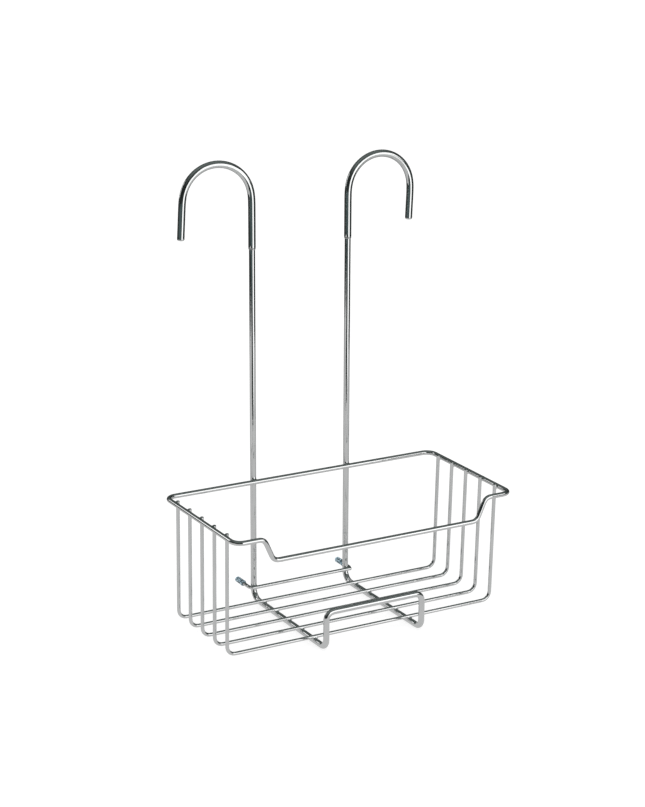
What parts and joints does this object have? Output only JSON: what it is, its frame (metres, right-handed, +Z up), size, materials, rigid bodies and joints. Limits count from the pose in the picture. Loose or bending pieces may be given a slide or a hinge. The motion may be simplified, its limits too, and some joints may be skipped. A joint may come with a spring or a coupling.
{
  "type": "shower caddy",
  "caption": "Chrome wire shower caddy: an open basket with a dipped front on a bent frame, with swivelling hooks to hang it over a bar or screen and capped pegs to the wall.",
  "frame": {"origin": "under the middle of the whole caddy's box, level with the underside of the two runners it stands on", "axes": "+X along the wall, to the right as the basket's dipped front is seen; +Y from the basket's front to the wall; +Z up, along the uprights"},
  "size_m": [0.2574, 0.1522, 0.3777],
  "materials": {
    "chrome_wire": "bright chrome plate, dulled at the welds",
    "hook_chrome": "bright chrome plate",
    "zinc": "zinc plated, machined",
    "soft_plastic": "clear bluish, soft"
  },
  "bodies": {
    "basket_frame": {"frame_wire": "chrome_wire", "rim_wire": "chrome_wire", "basket_rib_1": "chrome_wire", "basket_rib_2": "chrome_wire", "basket_rib_3": "chrome_wire", "basket_rib_4": "chrome_wire", "basket_rib_5": "chrome_wire", "wall_spacer_wire": "chrome_wire", "left_wall_cap": "soft_plastic", "right_wall_cap": "soft_plastic", "left_washer": "zinc", "right_washer": "zinc", "left_stud": "zinc", "right_stud": "zinc"},
    "left_hook": {"left_hook": "hook_chrome"},
    "right_hook": {"right_hook": "hook_chrome"}
  },
  "joints": [
    {"name": "left_hook_swivel", "type": "hinge", "parent": "basket_frame", "child": "left_hook", "pos_m": [-0.0445, 0.05418, 0.304], "axis": [0, 0, 1], "continuous": true},
    {"name": "right_hook_swivel", "type": "hinge", "parent": "basket_frame", "child": "right_hook", "pos_m": [0.0445, 0.05418, 0.304], "axis": [0, 0, 1], "continuous": true}
  ]
}
